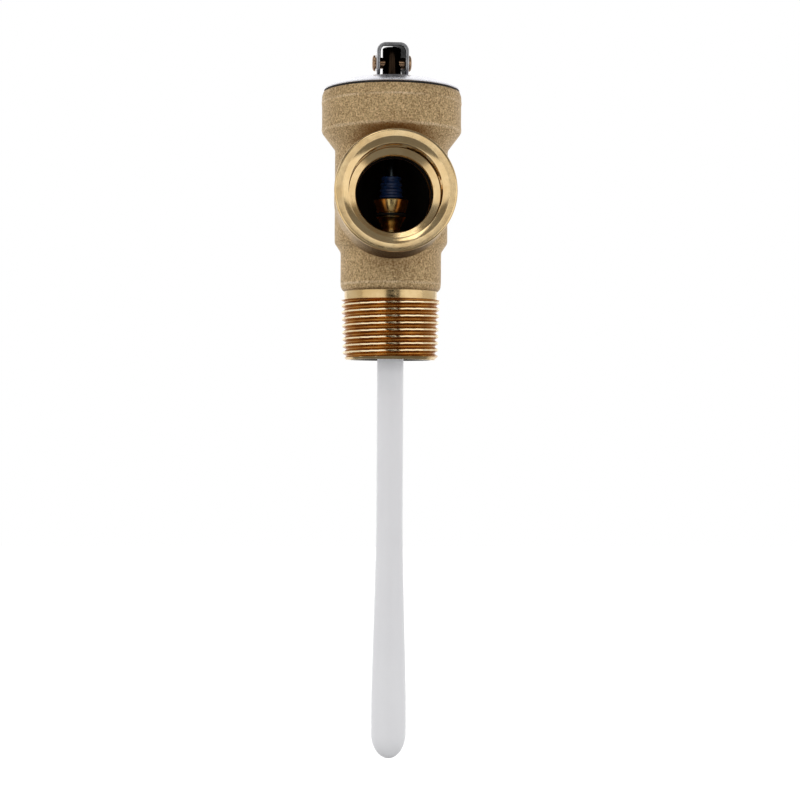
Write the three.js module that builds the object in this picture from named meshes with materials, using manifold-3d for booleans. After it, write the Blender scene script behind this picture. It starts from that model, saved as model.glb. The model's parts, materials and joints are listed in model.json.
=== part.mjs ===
// Temperature and pressure relief valve with a test lever, as its separate pieces.
// Millimetres. +Z runs up the valve's axis from the end face of the male inlet thread (z = 0) to the
// lever. The outlet faces -Y, the lever's arm points to +Y, and the lever turns about X.

import * as THREE from 'three';
import { mergeVertices } from 'three/addons/utils/BufferGeometryUtils.js';
import Module from 'manifold-3d';

const wasm = await Module();
wasm.setup();

// ---------- driving dimensions ----------

const GAP = 0.3;                  // clearance left between pieces that touch on the real valve
const ROUND = 32;                 // facets round a large turned piece
const ROUND_SMALL = 16;           // facets round a small turned piece

// body, from the inlet up
const THREAD_TOP = 16.4;          // R 3/4 taper thread, 14 turns to the inch, taper 1 in 16
const THREAD_PITCH = 25.4 / 14;
const THREAD_DEPTH = 1.16;
const THREAD_END_R = 12.92;       // crest radius at the end face
const CORE_R = 11.4;
const RELIEF_R = 12.5;            // plain groove above the thread
const NECK_R = 13.6;
const NECK_BOTTOM = 20.9;
const NECK_TOP = 29.0;
const BARREL_R = 15.25;
const BARREL_BOTTOM = 31.2;
const BARREL_TOP = 57.5;
const CAP_R = 18.8;
const CAP_BOTTOM = 61.8;
const RIM_TOP = 72.2;

// passages in the body
const INLET_R = 10.5;
const SHOULDER_Z = 15.3;          // the thermostat carrier stops against this step
const UPPER_INLET_R = 9.6;
const WEB_BOTTOM = 20.0;
const WEB_TOP = 26.0;
const WEB_HOLE_R = 7.2;
const CHAMBER_R = 12.4;
const LEDGE_Z = 61.0;
const BOWL_R = 16.3;

// outlet boss, G 3/4 inside thread left plain at its minor diameter
const OUTLET_Z = 42.8;
const OUTLET_FACE = 27.0;         // distance of the face from the valve's axis
const BOSS_R = 15.5;
const LAND_R = 15.8;
const OUTLET_THREAD_R = 12.1;
const OUTLET_THREAD_END = 19.0;
const OUTLET_HOLE_R = 9.9;

// seat and closing parts
const SEAT_TOP = 30.6;
const SEAT_BORE_R = 5.0;
const SEAL_R = 6.9;
const HOLDER_R = 7.7;
const STEM_R = 1.9;
const STEM_BOTTOM = 34.2;
const COLLAR_TOP = 43.2;
const SLEEVE_TOP = 49.4;
const CUP_BOTTOM = 55.8;
const CUP_R = 11.2;
const SPRING_WIRE_R = 1.0;
const SPRING_PLATE_Z = 58.9;
const RING_Z = 70.0;              // underside of the adjusting ring
const STUD_R = 1.3;
const STUD_TOP = 70.0;

// lever and what carries it
const SPINDLE_R = 2.4;
const SPINDLE_BOTTOM = 62.5;
const SWIVEL_PIN_Z = 68.0;
const SWIVEL_PIN_X = 1.15;
const PIVOT_Z = 80.1;
const PIVOT_PIN_R = 1.5;
const LEVER_HALF_WIDTH = 4.3;
const LEVER_SHEET = 0.95;
const LEVER_SLOPE = THREE.MathUtils.degToRad(11.6);
const LEVER_FRONT_Y = -7.4;
const LEVER_FRONT_Z = 84.4;
const LEVER_LENGTH = 40.5;        // along the slope of its top plate
const CAM_START = 3.8;            // height of the pin over the cam's flat at rest
const CAM_RISE = 2.5;             // rise of the pin for each radian that the lever turns
const CAM_SWEEP = THREE.MathUtils.degToRad(80);

// heat-sensing side, below the seat
const CARRIER_BOTTOM = 11.9;
const PROBE_THIN_R = 3.55;
const PROBE_THICK_R = 4.7;
const PROBE_TAPER_START = -48.6;
const PROBE_TAPER_END = -91.8;
const PROBE_ROUND_START = -100.7;
const PROBE_TIP = -107.5;
const PROBE_HEAD_R = 5.2;
const PROBE_HEAD_TOP = 17.3;
const ROD_R = 1.2;
const ROD_TOP = 24.0;
const ROD_BOTTOM = -9.1;

const COLOURS = {
  castBrass: { color: 0xb99b6e, roughness: 0.55, metalness: 0.9 },
  brass: { color: 0xc8a55f, roughness: 0.3, metalness: 1.0 },
  steel: { color: 0xb8bcc0, roughness: 0.35, metalness: 1.0 },
  springSteel: { color: 0x6f7278, roughness: 0.4, metalness: 1.0 },
  silverCover: { color: 0xe6e6ec, roughness: 0.45, metalness: 0.4 },
  darkBronze: { color: 0x4a3a2c, roughness: 0.35, metalness: 0.9 },
  copper: { color: 0xb87346, roughness: 0.35, metalness: 1.0 },
  whitePlastic: { color: 0xd9d7de, roughness: 0.35, metalness: 0.0 },
  blackPlastic: { color: 0x1b1b1d, roughness: 0.5, metalness: 0.0 },
  blackRubber: { color: 0x151515, roughness: 0.8, metalness: 0.0 },
  blueSilicone: { color: 0x2b4f9e, roughness: 0.5, metalness: 0.0 },
  wax: { color: 0xe8dcc0, roughness: 0.6, metalness: 0.0 },
};

// ---------- making and joining solids ----------

const points = (pairs) => pairs.map(([x, y]) => new THREE.Vector2(x, y));

// A profile of [radius, height] pairs, turned about Z. It runs upwards along the outside.
function turned(pairs, facets = ROUND_SMALL) {
  return new THREE.LatheGeometry(points(pairs), facets).rotateX(Math.PI / 2);
}

// A plain ring, closed on itself.
function ring(inner, outer, bottom, top, facets = ROUND_SMALL) {
  return turned([[inner, bottom], [outer, bottom], [outer, top], [inner, top], [inner, bottom]], facets);
}

// A plain round bar on the axis.
function bar(radius, bottom, top, facets = ROUND_SMALL) {
  return turned([[0, bottom], [radius, bottom], [radius, top], [0, top]], facets);
}

// A bar along X, centred on x = 0.
function crossBar(radius, length, z, facets = ROUND_SMALL) {
  return bar(radius, -length / 2, length / 2, facets).rotateY(Math.PI / 2).translate(0, 0, z);
}

// A flat outline in X and Y, standing from bottom to top.
function plate(shape, bottom, top, curveSegments = 12) {
  const options = { depth: top - bottom, bevelEnabled: false, curveSegments };
  return new THREE.ExtrudeGeometry(shape, options).translate(0, 0, bottom);
}

// An outline of [y, z] pairs, as thick as width along X and centred on x = 0.
function sideCut(pairs, width) {
  const slab = new THREE.ExtrudeGeometry(new THREE.Shape(points(pairs)), { depth: width, bevelEnabled: false });
  return slab.translate(0, 0, -width / 2).rotateX(Math.PI / 2).rotateZ(Math.PI / 2);
}

function solid(geometry) {
  const bare = geometry.clone();
  bare.deleteAttribute('normal');
  bare.deleteAttribute('uv');
  const merged = mergeVertices(bare, 1e-4);
  const corners = merged.index.array;
  const kept = [];
  for (let i = 0; i < corners.length; i += 3) {
    const [a, b, c] = corners.subarray(i, i + 3);
    if (a !== b && b !== c && c !== a) kept.push(a, b, c);
  }
  return new wasm.Manifold(new wasm.Mesh({
    numProp: 3,
    vertProperties: new Float32Array(merged.attributes.position.array),
    triVerts: new Uint32Array(kept),
  }));
}

function geometryOf(manifold) {
  const mesh = manifold.getMesh();
  const geometry = new THREE.BufferGeometry();
  geometry.setAttribute('position', new THREE.BufferAttribute(mesh.vertProperties, 3));
  geometry.setIndex(new THREE.BufferAttribute(mesh.triVerts, 1));
  geometry.computeVertexNormals();
  return geometry;
}

const join = (first, ...others) => geometryOf(others.reduce((sum, g) => sum.add(solid(g)), solid(first)));
const cut = (first, ...others) => geometryOf(others.reduce((rest, g) => rest.subtract(solid(g)), solid(first)));
const common = (first, second) => geometryOf(solid(first).intersect(solid(second)));

// A bar of round wire wound about the Z axis; radiusAt(t) gives the coil's radius from bottom to top.
class Coil extends THREE.Curve {
  constructor(turns, bottom, top, radiusAt) {
    super();
    Object.assign(this, { turns, bottom, top, radiusAt });
  }

  getPoint(t, target = new THREE.Vector3()) {
    const angle = 2 * Math.PI * this.turns * t;
    const radius = this.radiusAt(t);
    const z = THREE.MathUtils.lerp(this.bottom, this.top, t);
    return target.set(radius * Math.cos(angle), radius * Math.sin(angle), z);
  }
}

function wound(coil, wireRadius, steps, sides) {
  const section = [];
  for (let i = 0; i < sides; i += 1) {
    const angle = (2 * Math.PI * i) / sides;
    section.push(new THREE.Vector2(wireRadius * Math.cos(angle), wireRadius * Math.sin(angle)));
  }
  return new THREE.ExtrudeGeometry(new THREE.Shape(section), { steps, extrudePath: coil, bevelEnabled: false });
}

// ---------- body ----------

// The taper thread: a turned blank whose surface is lowered along a right-hand helix.
function taperThread() {
  const rowsPerTurn = 4;
  const rowHeight = THREAD_PITCH / rowsPerTurn;
  const rows = Math.round(THREAD_TOP / rowHeight);
  const profile = [[0, 0]];
  for (let row = 0; row <= rows; row += 1) profile.push([1, row * rowHeight]);
  profile.push([0, rows * rowHeight]);
  const blank = turned(profile, 28);
  const position = blank.attributes.position;
  for (let i = 0; i < position.count; i += 1) {
    const x = position.getX(i);
    const y = position.getY(i);
    const z = position.getZ(i);
    const turn = Math.atan2(y, x) / (2 * Math.PI);
    const valley = 0.5 - 0.5 * Math.cos(2 * Math.PI * (z / THREAD_PITCH - turn));
    const chamfer = Math.max(0, 0.9 - 0.6 * z) + Math.max(0, 0.6 * (z - THREAD_TOP + 1));
    const crest = THREAD_END_R + z / 32 - chamfer;
    const radius = Math.max(CORE_R + 0.25, crest - THREAD_DEPTH * valley);
    const length = Math.hypot(x, y);
    if (length > 0.5) position.setXY(i, (x / length) * radius, (y / length) * radius);
  }
  return blank;
}

function bodyBlank() {
  return turned([
    [0, 0], [CORE_R, 0], [CORE_R, THREAD_TOP - 0.6], [RELIEF_R, THREAD_TOP - 0.6], [RELIEF_R, NECK_BOTTOM - 1.2],
    [NECK_R, NECK_BOTTOM], [NECK_R, NECK_TOP], [BARREL_R, BARREL_BOTTOM], [BARREL_R, BARREL_TOP],
    [CAP_R, CAP_BOTTOM], [CAP_R, 68.8], [CAP_R + 0.25, 69.1], [CAP_R - 0.15, 71.5], [CAP_R - 0.6, RIM_TOP],
    [0, RIM_TOP],
  ], ROUND);
}

// A profile of [radius, distance from the valve's axis] pairs, turned about the outlet's axis.
function aboutOutlet(pairs) {
  return turned(pairs, ROUND).rotateX(Math.PI / 2).translate(0, 0, OUTLET_Z);
}

function outletBoss() {
  return aboutOutlet([
    [0, 4], [BOSS_R, 4], [BOSS_R, OUTLET_FACE - 1.7], [LAND_R, OUTLET_FACE - 1.4],
    [LAND_R, OUTLET_FACE - 0.3], [LAND_R - 0.3, OUTLET_FACE], [0, OUTLET_FACE],
  ]);
}

function outletPassage() {
  return aboutOutlet([
    [0, 0], [OUTLET_HOLE_R, 0], [OUTLET_HOLE_R, OUTLET_THREAD_END - 1.2],
    [OUTLET_THREAD_R, OUTLET_THREAD_END], [OUTLET_THREAD_R, OUTLET_FACE - 0.9],
    [13.7, OUTLET_FACE + 0.001], [13.7, OUTLET_FACE + 1], [0, OUTLET_FACE + 1],
  ]);
}

function mainPassage() {
  const grooveZ = CARRIER_BOTTOM - 1.5;
  return turned([
    [0, -1], [INLET_R, -1], [INLET_R, grooveZ], [INLET_R + 0.6, grooveZ], [INLET_R + 0.6, grooveZ + 1.2],
    [INLET_R, grooveZ + 1.2], [INLET_R, SHOULDER_Z], [UPPER_INLET_R, SHOULDER_Z], [UPPER_INLET_R, WEB_BOTTOM],
    [WEB_HOLE_R, WEB_BOTTOM], [WEB_HOLE_R, WEB_TOP], [INLET_R, WEB_TOP], [CHAMBER_R, WEB_TOP + 5],
    [CHAMBER_R, LEDGE_Z], [BOWL_R, LEDGE_Z], [BOWL_R, RIM_TOP + 1], [0, RIM_TOP + 1],
  ], ROUND);
}

function valveBody() {
  const outside = join(bodyBlank(), taperThread(), outletBoss());
  return cut(outside, mainPassage(), outletPassage());
}

// ---------- seat and closing parts ----------

function seatInsert() {
  const flange = WEB_TOP + GAP;
  return turned([
    [SEAT_BORE_R, WEB_BOTTOM + GAP], [WEB_HOLE_R - GAP, WEB_BOTTOM + GAP], [WEB_HOLE_R - GAP, flange],
    [9.5, flange], [9.5, flange + 1.3], [SEAL_R, flange + 1.3], [SEAL_R, SEAT_TOP - 1],
    [SEAT_BORE_R + 1.2, SEAT_TOP], [SEAT_BORE_R, SEAT_TOP], [SEAT_BORE_R, WEB_BOTTOM + GAP],
  ], ROUND);
}

function discScrew() {
  const head = SEAT_TOP - 2.3;
  return turned([[0, head], [2.8, head], [2.8, SEAT_TOP], [1.2, SEAT_TOP], [1.2, 36.2], [0, 36.2]]);
}

const sealDisc = () => ring(1.5, SEAL_R, SEAT_TOP + GAP, SEAT_TOP + 1.5);

function discHolder() {
  const under = SEAT_TOP + 1.8;
  const top = STEM_BOTTOM - GAP;
  return turned([
    [1.5, under], [SEAL_R + 0.2, under], [SEAL_R + 0.2, under - 1], [HOLDER_R, under - 1],
    [HOLDER_R, top - 0.5], [HOLDER_R - 0.5, top], [1.5, top], [1.5, under],
  ]);
}

function valveStem() {
  return turned([
    [1.5, STEM_BOTTOM], [2.45, STEM_BOTTOM], [2.5, 35.2], [4.2, 38.5], [3.0, 38.6], [3.0, 39.6], [4.05, 39.7],
    [4.85, COLLAR_TOP - 0.2], [4.6, COLLAR_TOP], [STEM_R, COLLAR_TOP], [STEM_R, 57.8], [1.5, 57.8], [1.5, 58.8],
    [STEM_R, 58.8], [STEM_R, 61.9], [STUD_R, 62.2], [STUD_R, SWIVEL_PIN_Z - 0.65], [0.55, SWIVEL_PIN_Z - 0.65],
    [0.55, SWIVEL_PIN_Z + 0.65], [STUD_R, SWIVEL_PIN_Z + 0.65], [STUD_R, STUD_TOP], [0, STUD_TOP],
    [0, 36.5], [1.5, 36.5], [1.5, STEM_BOTTOM],
  ]);
}

function stemSealRing() {
  return new THREE.TorusGeometry(3.75, 0.35, 6, 20).translate(0, 0, 39.1);
}

// A tapering silicone sleeve with raised ribs.
function stemSleeve() {
  const bottom = COLLAR_TOP + GAP;
  const ribs = 4;
  const step = (SLEEVE_TOP - bottom) / (ribs - 0.5);
  const bore = STEM_R + 0.15;
  const profile = [[bore, bottom]];
  for (let rib = 0; rib < ribs; rib += 1) {
    const z = bottom + rib * step;
    const radius = THREE.MathUtils.lerp(3.3, 2.75, rib / (ribs - 1));
    profile.push([radius, z], [radius, z + step * 0.45]);
    if (rib < ribs - 1) profile.push([radius - 0.35, z + step * 0.6], [radius - 0.4, z + step * 0.9]);
  }
  profile.push([bore, bottom + (ribs - 1) * step + step * 0.45], [bore, bottom]);
  return turned(profile);
}

// ---------- spring side ----------

function stemBush() {
  const flange = CUP_BOTTOM + 1.3;
  return turned([
    [STEM_R + 0.1, 54], [3.3, 54], [3.3, flange], [4.6, flange], [4.6, flange + 0.6],
    [STEM_R + 0.1, flange + 0.6], [STEM_R + 0.1, 54],
  ]);
}

const cupGasket = () => ring(CHAMBER_R + 0.2, BOWL_R - GAP, LEDGE_Z + GAP, LEDGE_Z + 0.8, ROUND);

// The pressed cup that parts the wet chamber from the spring.
function springCup() {
  const flange = LEDGE_Z + 1.1;
  return turned([
    [3.6, CUP_BOTTOM], [CUP_R - 1, CUP_BOTTOM], [CUP_R, CUP_BOTTOM + 1], [CUP_R, flange], [BOWL_R - GAP, flange],
    [BOWL_R - GAP, flange + 1], [CUP_R - 1, flange + 1], [CUP_R - 1, CUP_BOTTOM + 1], [3.6, CUP_BOTTOM + 1],
    [3.6, CUP_BOTTOM],
  ], ROUND);
}

// An open ring clipped into the stem's groove.
function stemClip() {
  const outline = new THREE.Shape();
  const opening = 0.55;
  outline.absarc(0, 0, 3.5, opening, 2 * Math.PI - opening, false);
  outline.absarc(0, 0, 1.65, 2 * Math.PI - opening, opening, true);
  outline.closePath();
  return plate(outline, 58.0, 58.6, 8);
}

function springPlate() {
  const top = SPRING_PLATE_Z + 1.2;
  return turned([
    [STEM_R + 0.2, SPRING_PLATE_Z], [7.6, SPRING_PLATE_Z], [7.6, top], [4.2, top], [4.0, top + 1.3],
    [STEM_R + 0.2, top + 1.3], [STEM_R + 0.2, SPRING_PLATE_Z],
  ]);
}

// The safety spring is a cone, so that its turns nest when the lever lifts the stem.
function mainSpring() {
  const bottom = SPRING_PLATE_Z + 1.2 + GAP + SPRING_WIRE_R;
  const top = RING_Z - GAP - SPRING_WIRE_R;
  const coil = new Coil(3.5, bottom, top, (t) => THREE.MathUtils.lerp(5.8, 13.2, t));
  return wound(coil, SPRING_WIRE_R, 56, 6);
}

function adjustingRing() {
  const outline = new THREE.Shape();
  outline.absarc(0, 0, BOWL_R - GAP, 0, 2 * Math.PI, false);
  const opening = new THREE.Path();
  opening.absarc(0, 0, 10.6, 0, 2 * Math.PI, true);
  outline.holes.push(opening);
  for (let i = 0; i < 4; i += 1) {
    const angle = (i + 0.5) * (Math.PI / 2);
    const toolHole = new THREE.Path();
    toolHole.absarc(13.3 * Math.cos(angle), 13.3 * Math.sin(angle), 1.3, 0, 2 * Math.PI, true);
    outline.holes.push(toolHole);
  }
  return plate(outline, RING_Z, RING_Z + 1.7, 8);
}

// ---------- cover, spindle and lever ----------

const coverGasket = () => ring(16.7, CAP_R - 0.65, RIM_TOP + 0.15, RIM_TOP + 0.45, ROUND);

function coverDisc() {
  const flange = RIM_TOP + 0.6;
  return turned([
    [2.75, 75.1], [7.5, 75.0], [11.4, 74.4], [15.2, 73.2], [15.2, RIM_TOP - 0.2], [15.9, RIM_TOP - 0.2],
    [15.9, flange], [CAP_R - 0.3, flange], [CAP_R - 0.15, flange + 0.3], [15.9, 74.3], [11.6, 75.6],
    [7.8, 76.2], [2.75, 76.2], [2.75, 75.1],
  ], ROUND);
}

function liftingSpindle() {
  const rod = turned([
    [STUD_R + 0.15, SPINDLE_BOTTOM], [SPINDLE_R, SPINDLE_BOTTOM], [SPINDLE_R, PIVOT_Z + 3.6],
    [1.6, PIVOT_Z + 4.2], [0, PIVOT_Z + 4.3], [0, STUD_TOP + GAP], [STUD_R + 0.15, STUD_TOP + GAP],
    [STUD_R + 0.15, SPINDLE_BOTTOM],
  ]);
  const swivelHole = bar(0.6, -4, 4, 16).rotateX(Math.PI / 2).translate(SWIVEL_PIN_X, 0, SWIVEL_PIN_Z);
  return cut(rod, crossBar(PIVOT_PIN_R + 0.15, 8, PIVOT_Z), swivelHole);
}

// Holds the spindle to the stem, and runs in the stem's groove so that the lever can swivel.
function swivelPin() {
  return bar(0.45, -1.9, 1.9, 12).rotateX(Math.PI / 2).translate(SWIVEL_PIN_X, 0, SWIVEL_PIN_Z);
}

function leverPin() {
  const end = LEVER_HALF_WIDTH + 1.05;
  const inner = LEVER_HALF_WIDTH + 0.15;
  return turned([
    [0, -end], [1.9, -end], [2.15, -end + 0.25], [2.15, -inner], [PIVOT_PIN_R, -inner], [PIVOT_PIN_R, inner],
    [2.15, inner], [2.15, end - 0.25], [1.9, end], [0, end],
  ]).rotateY(Math.PI / 2).translate(0, 0, PIVOT_Z);
}

// The cam's outline about the pin, as [y, z]: with it, the pin rises by CAM_RISE for each radian.
function camPoint(angle) {
  const height = CAM_START + CAM_RISE * angle;
  return [
    -height * Math.sin(angle) - CAM_RISE * Math.cos(angle),
    PIVOT_Z - height * Math.cos(angle) + CAM_RISE * Math.sin(angle),
  ];
}

// The channel before its sides are shaped: two walls and a top plate with rounded edges.
function channelSection(halfWidth, edgeRadius, bottom, top) {
  const outline = new THREE.Shape();
  outline.moveTo(-halfWidth, bottom);
  outline.lineTo(halfWidth, bottom);
  outline.lineTo(halfWidth, top - edgeRadius);
  outline.absarc(halfWidth - edgeRadius, top - edgeRadius, edgeRadius, 0, Math.PI / 2, false);
  outline.lineTo(-halfWidth + edgeRadius, top);
  outline.absarc(-halfWidth + edgeRadius, top - edgeRadius, edgeRadius, Math.PI / 2, Math.PI, false);
  outline.closePath();
  return outline;
}

// A channel section, run along the lever's sloping top plate from its front edge.
function alongLever(section, start, length) {
  return new THREE.ExtrudeGeometry(section, { depth: length, bevelEnabled: false, curveSegments: 5 })
    .translate(0, 0, start)
    .rotateX(Math.PI / 2)
    .rotateZ(Math.PI)
    .rotateX(LEVER_SLOPE)
    .translate(0, LEVER_FRONT_Y, LEVER_FRONT_Z);
}

// Seen from the side: the cam at the front, then walls that fade into the flat arm.
function leverSideOutline() {
  const camSteps = 10;
  const front = [];
  for (let i = 0; i <= camSteps; i += 1) front.push(camPoint((CAM_SWEEP * i) / camSteps));
  const wallEnd = 13;
  const plateAt = (y) => LEVER_FRONT_Z + (y - LEVER_FRONT_Y) * Math.tan(LEVER_SLOPE);
  return [
    ...front.reverse(), [3.2, PIVOT_Z - CAM_START], [4.6, PIVOT_Z - CAM_START + 0.8], [wallEnd, plateAt(wallEnd) - 2.2],
    [wallEnd + 2.5, plateAt(wallEnd + 2.5) - LEVER_SHEET - 0.4], [40, plateAt(40) - LEVER_SHEET - 0.4],
    [40, plateAt(40) + 2], [-12, plateAt(-12) + 2], [-12, PIVOT_Z + 1.2],
  ];
}

// Seen from above: full width at the pin, then narrowing to a rounded thumb end.
function leverPlanOutline() {
  const tip = LEVER_LENGTH * Math.cos(LEVER_SLOPE) + LEVER_FRONT_Y;
  const tipHalf = 3.1;
  const outline = new THREE.Shape();
  outline.moveTo(-5, -20);
  outline.lineTo(5, -20);
  outline.lineTo(5, 11);
  outline.lineTo(tipHalf, 17);
  outline.lineTo(tipHalf, tip - tipHalf);
  outline.absarc(0, tip - tipHalf, tipHalf, 0, Math.PI, false);
  outline.lineTo(-tipHalf, 17);
  outline.lineTo(-5, 11);
  outline.closePath();
  return outline;
}

function lever() {
  const depth = 22;
  const outer = alongLever(channelSection(LEVER_HALF_WIDTH, 1.6, -depth, 0), 0, LEVER_LENGTH + 2);
  const innerHalf = LEVER_HALF_WIDTH - LEVER_SHEET;
  const inner = channelSection(innerHalf, 1.6 - LEVER_SHEET, -depth - 1, -LEVER_SHEET);
  const channel = cut(outer, alongLever(inner, -1, LEVER_LENGTH + 4));
  const shaped = common(common(channel, sideCut(leverSideOutline(), 12)), plate(leverPlanOutline(), 70, 100));
  return cut(shaped, crossBar(PIVOT_PIN_R + 0.15, 12, PIVOT_Z));
}

// ---------- heat-sensing side ----------

// A spoked carrier that holds the probe in the middle of the inlet.
function thermostatCarrier() {
  const top = SHOULDER_Z - GAP;
  const outline = new THREE.Shape();
  outline.absarc(0, 0, INLET_R - GAP, 0, 2 * Math.PI, false);
  const hubHole = new THREE.Path();
  hubHole.absarc(0, 0, PROBE_THIN_R + GAP, 0, 2 * Math.PI, true);
  outline.holes.push(hubHole);
  const spokes = 3;
  for (let i = 0; i < spokes; i += 1) {
    const middle = (i + 0.5) * ((2 * Math.PI) / spokes);
    const half = Math.PI / spokes - 0.24;
    const window = new THREE.Path();
    window.absarc(0, 0, 8.9, middle - half, middle + half, false);
    window.absarc(0, 0, 5.9, middle + half, middle - half, true);
    window.closePath();
    outline.holes.push(window);
  }
  return plate(outline, CARRIER_BOTTOM, top, 9);
}

// The open snap ring under the carrier, sprung into its groove.
function carrierRing() {
  const outline = new THREE.Shape();
  const opening = 0.35;
  const outer = INLET_R + GAP;
  outline.absarc(0, 0, outer, opening - Math.PI / 2, 1.5 * Math.PI - opening, false);
  outline.absarc(0, 0, outer - 1.5, 1.5 * Math.PI - opening, opening - Math.PI / 2, true);
  outline.closePath();
  return plate(outline, CARRIER_BOTTOM - 1.2, CARRIER_BOTTOM - 0.6, 12);
}

// The long plastic probe, widening towards a rounded end, open at its top.
function probeSheath() {
  const headBottom = SHOULDER_Z;
  const steps = 6;
  const outside = [];
  for (let i = 0; i <= steps; i += 1) {
    const angle = (Math.PI / 2) * (i / steps);
    outside.push([PROBE_THICK_R * Math.sin(angle),
      PROBE_ROUND_START - (PROBE_ROUND_START - PROBE_TIP) * Math.cos(angle)]);
  }
  return turned([
    ...outside, [PROBE_THICK_R, PROBE_TAPER_END], [PROBE_THIN_R, PROBE_TAPER_START],
    [PROBE_THIN_R, headBottom], [PROBE_HEAD_R, headBottom], [PROBE_HEAD_R, PROBE_HEAD_TOP],
    [2.65, PROBE_HEAD_TOP], [2.65, -101.5], [0, -101.5],
  ]);
}

function waxTube() {
  return turned([[0, -101.2], [1.6, -101.2], [2.35, -100.4], [2.35, -8], [1.85, -8], [1.85, -100.2], [0, -100.2]]);
}

const waxCharge = () => bar(1.7, -99.9, -14, 16);
const waxPlug = () => turned([[0, -13.7], [1.7, -13.7], [1.7, -9.4], [0, -9.4]], 16);
const pushRod = () => turned([[0, ROD_BOTTOM], [ROD_R, ROD_BOTTOM], [ROD_R, -6], [0.9, -6], [0.9, -4.9],
  [ROD_R, -4.9], [ROD_R, ROD_TOP - 0.5], [0.7, ROD_TOP], [0, ROD_TOP]], 16);

// A clip in the rod's groove, under the return spring.
function rodClip() {
  const outline = new THREE.Shape();
  const opening = 0.6;
  outline.absarc(0, 0, 2.3, opening, 2 * Math.PI - opening, false);
  outline.absarc(0, 0, 1.05, 2 * Math.PI - opening, opening, true);
  outline.closePath();
  return plate(outline, -5.8, -5.1, 8);
}

// Guides the rod, and gives the return spring its upper stop.
function rodGuide() {
  const flange = PROBE_HEAD_TOP + GAP;
  const bore = ROD_R + 0.1;
  return turned([
    [bore, 9], [2.35, 9], [2.35, flange], [PROBE_HEAD_R, flange], [PROBE_HEAD_R, flange + 1.2],
    [bore, flange + 1.2], [bore, 9],
  ]);
}

function returnSpring() {
  return wound(new Coil(5, -4.5, 8.4, () => 1.9), 0.28, 45, 5);
}

// ---------- assembly ----------

const assembly = new THREE.Group();

function place(name, geometry, look) {
  const mesh = new THREE.Mesh(geometry, new THREE.MeshStandardMaterial(COLOURS[look]));
  mesh.name = name;
  assembly.add(mesh);
}

place('valve_body', valveBody(), 'castBrass');
place('seat_insert', seatInsert(), 'steel');
place('disc_screw', discScrew(), 'brass');
place('seal_disc', sealDisc(), 'blackRubber');
place('disc_holder', discHolder(), 'brass');
place('valve_stem', valveStem(), 'brass');
place('stem_seal_ring', stemSealRing(), 'blackRubber');
place('stem_sleeve', stemSleeve(), 'blueSilicone');
place('stem_bush', stemBush(), 'blackPlastic');
place('cup_gasket', cupGasket(), 'blackRubber');
place('spring_cup', springCup(), 'steel');
place('stem_clip', stemClip(), 'springSteel');
place('spring_plate', springPlate(), 'brass');
place('main_spring', mainSpring(), 'springSteel');
place('adjusting_ring', adjustingRing(), 'brass');
place('cover_gasket', coverGasket(), 'blackRubber');
place('cover_disc', coverDisc(), 'silverCover');
place('lifting_spindle', liftingSpindle(), 'darkBronze');
place('swivel_pin', swivelPin(), 'steel');
place('lever_pin', leverPin(), 'brass');
place('lever', lever(), 'steel');
place('thermostat_carrier', thermostatCarrier(), 'brass');
place('carrier_ring', carrierRing(), 'springSteel');
place('probe_sheath', probeSheath(), 'whitePlastic');
place('wax_tube', waxTube(), 'copper');
place('wax_charge', waxCharge(), 'wax');
place('wax_plug', waxPlug(), 'blackRubber');
place('push_rod', pushRod(), 'steel');
place('rod_clip', rodClip(), 'springSteel');
place('rod_guide', rodGuide(), 'brass');
place('return_spring', returnSpring(), 'springSteel');

export default assembly;
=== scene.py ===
"""Looks of a brass pressure and temperature relief valve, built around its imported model."""

import json
import math

import bmesh
import bpy
import numpy as np
from mathutils import Matrix, Vector, noise


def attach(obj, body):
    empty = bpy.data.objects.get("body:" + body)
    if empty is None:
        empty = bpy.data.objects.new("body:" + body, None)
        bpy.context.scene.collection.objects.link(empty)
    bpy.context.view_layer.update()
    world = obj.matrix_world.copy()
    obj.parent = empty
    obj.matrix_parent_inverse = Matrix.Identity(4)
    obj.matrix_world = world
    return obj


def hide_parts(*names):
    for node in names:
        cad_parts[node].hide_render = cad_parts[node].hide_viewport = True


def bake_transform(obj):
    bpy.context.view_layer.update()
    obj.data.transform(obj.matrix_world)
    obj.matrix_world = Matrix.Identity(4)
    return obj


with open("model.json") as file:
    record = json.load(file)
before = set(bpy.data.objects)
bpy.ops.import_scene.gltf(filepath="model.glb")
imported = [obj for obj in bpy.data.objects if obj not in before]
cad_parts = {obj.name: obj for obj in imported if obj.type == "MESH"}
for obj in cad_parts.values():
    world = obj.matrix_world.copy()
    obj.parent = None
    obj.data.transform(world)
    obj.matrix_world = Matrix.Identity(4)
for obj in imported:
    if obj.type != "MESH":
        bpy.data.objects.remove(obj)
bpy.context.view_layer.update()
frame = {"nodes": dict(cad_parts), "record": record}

MM = 0.001
FINE = 192                       # facets round a large turned piece
SMALL = 96                       # facets round a small one
BODIES = frame["record"]["behaviour"]["bodies"]
BODY_OF = {node: body for body, nodes in BODIES.items() for node in nodes}

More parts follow.
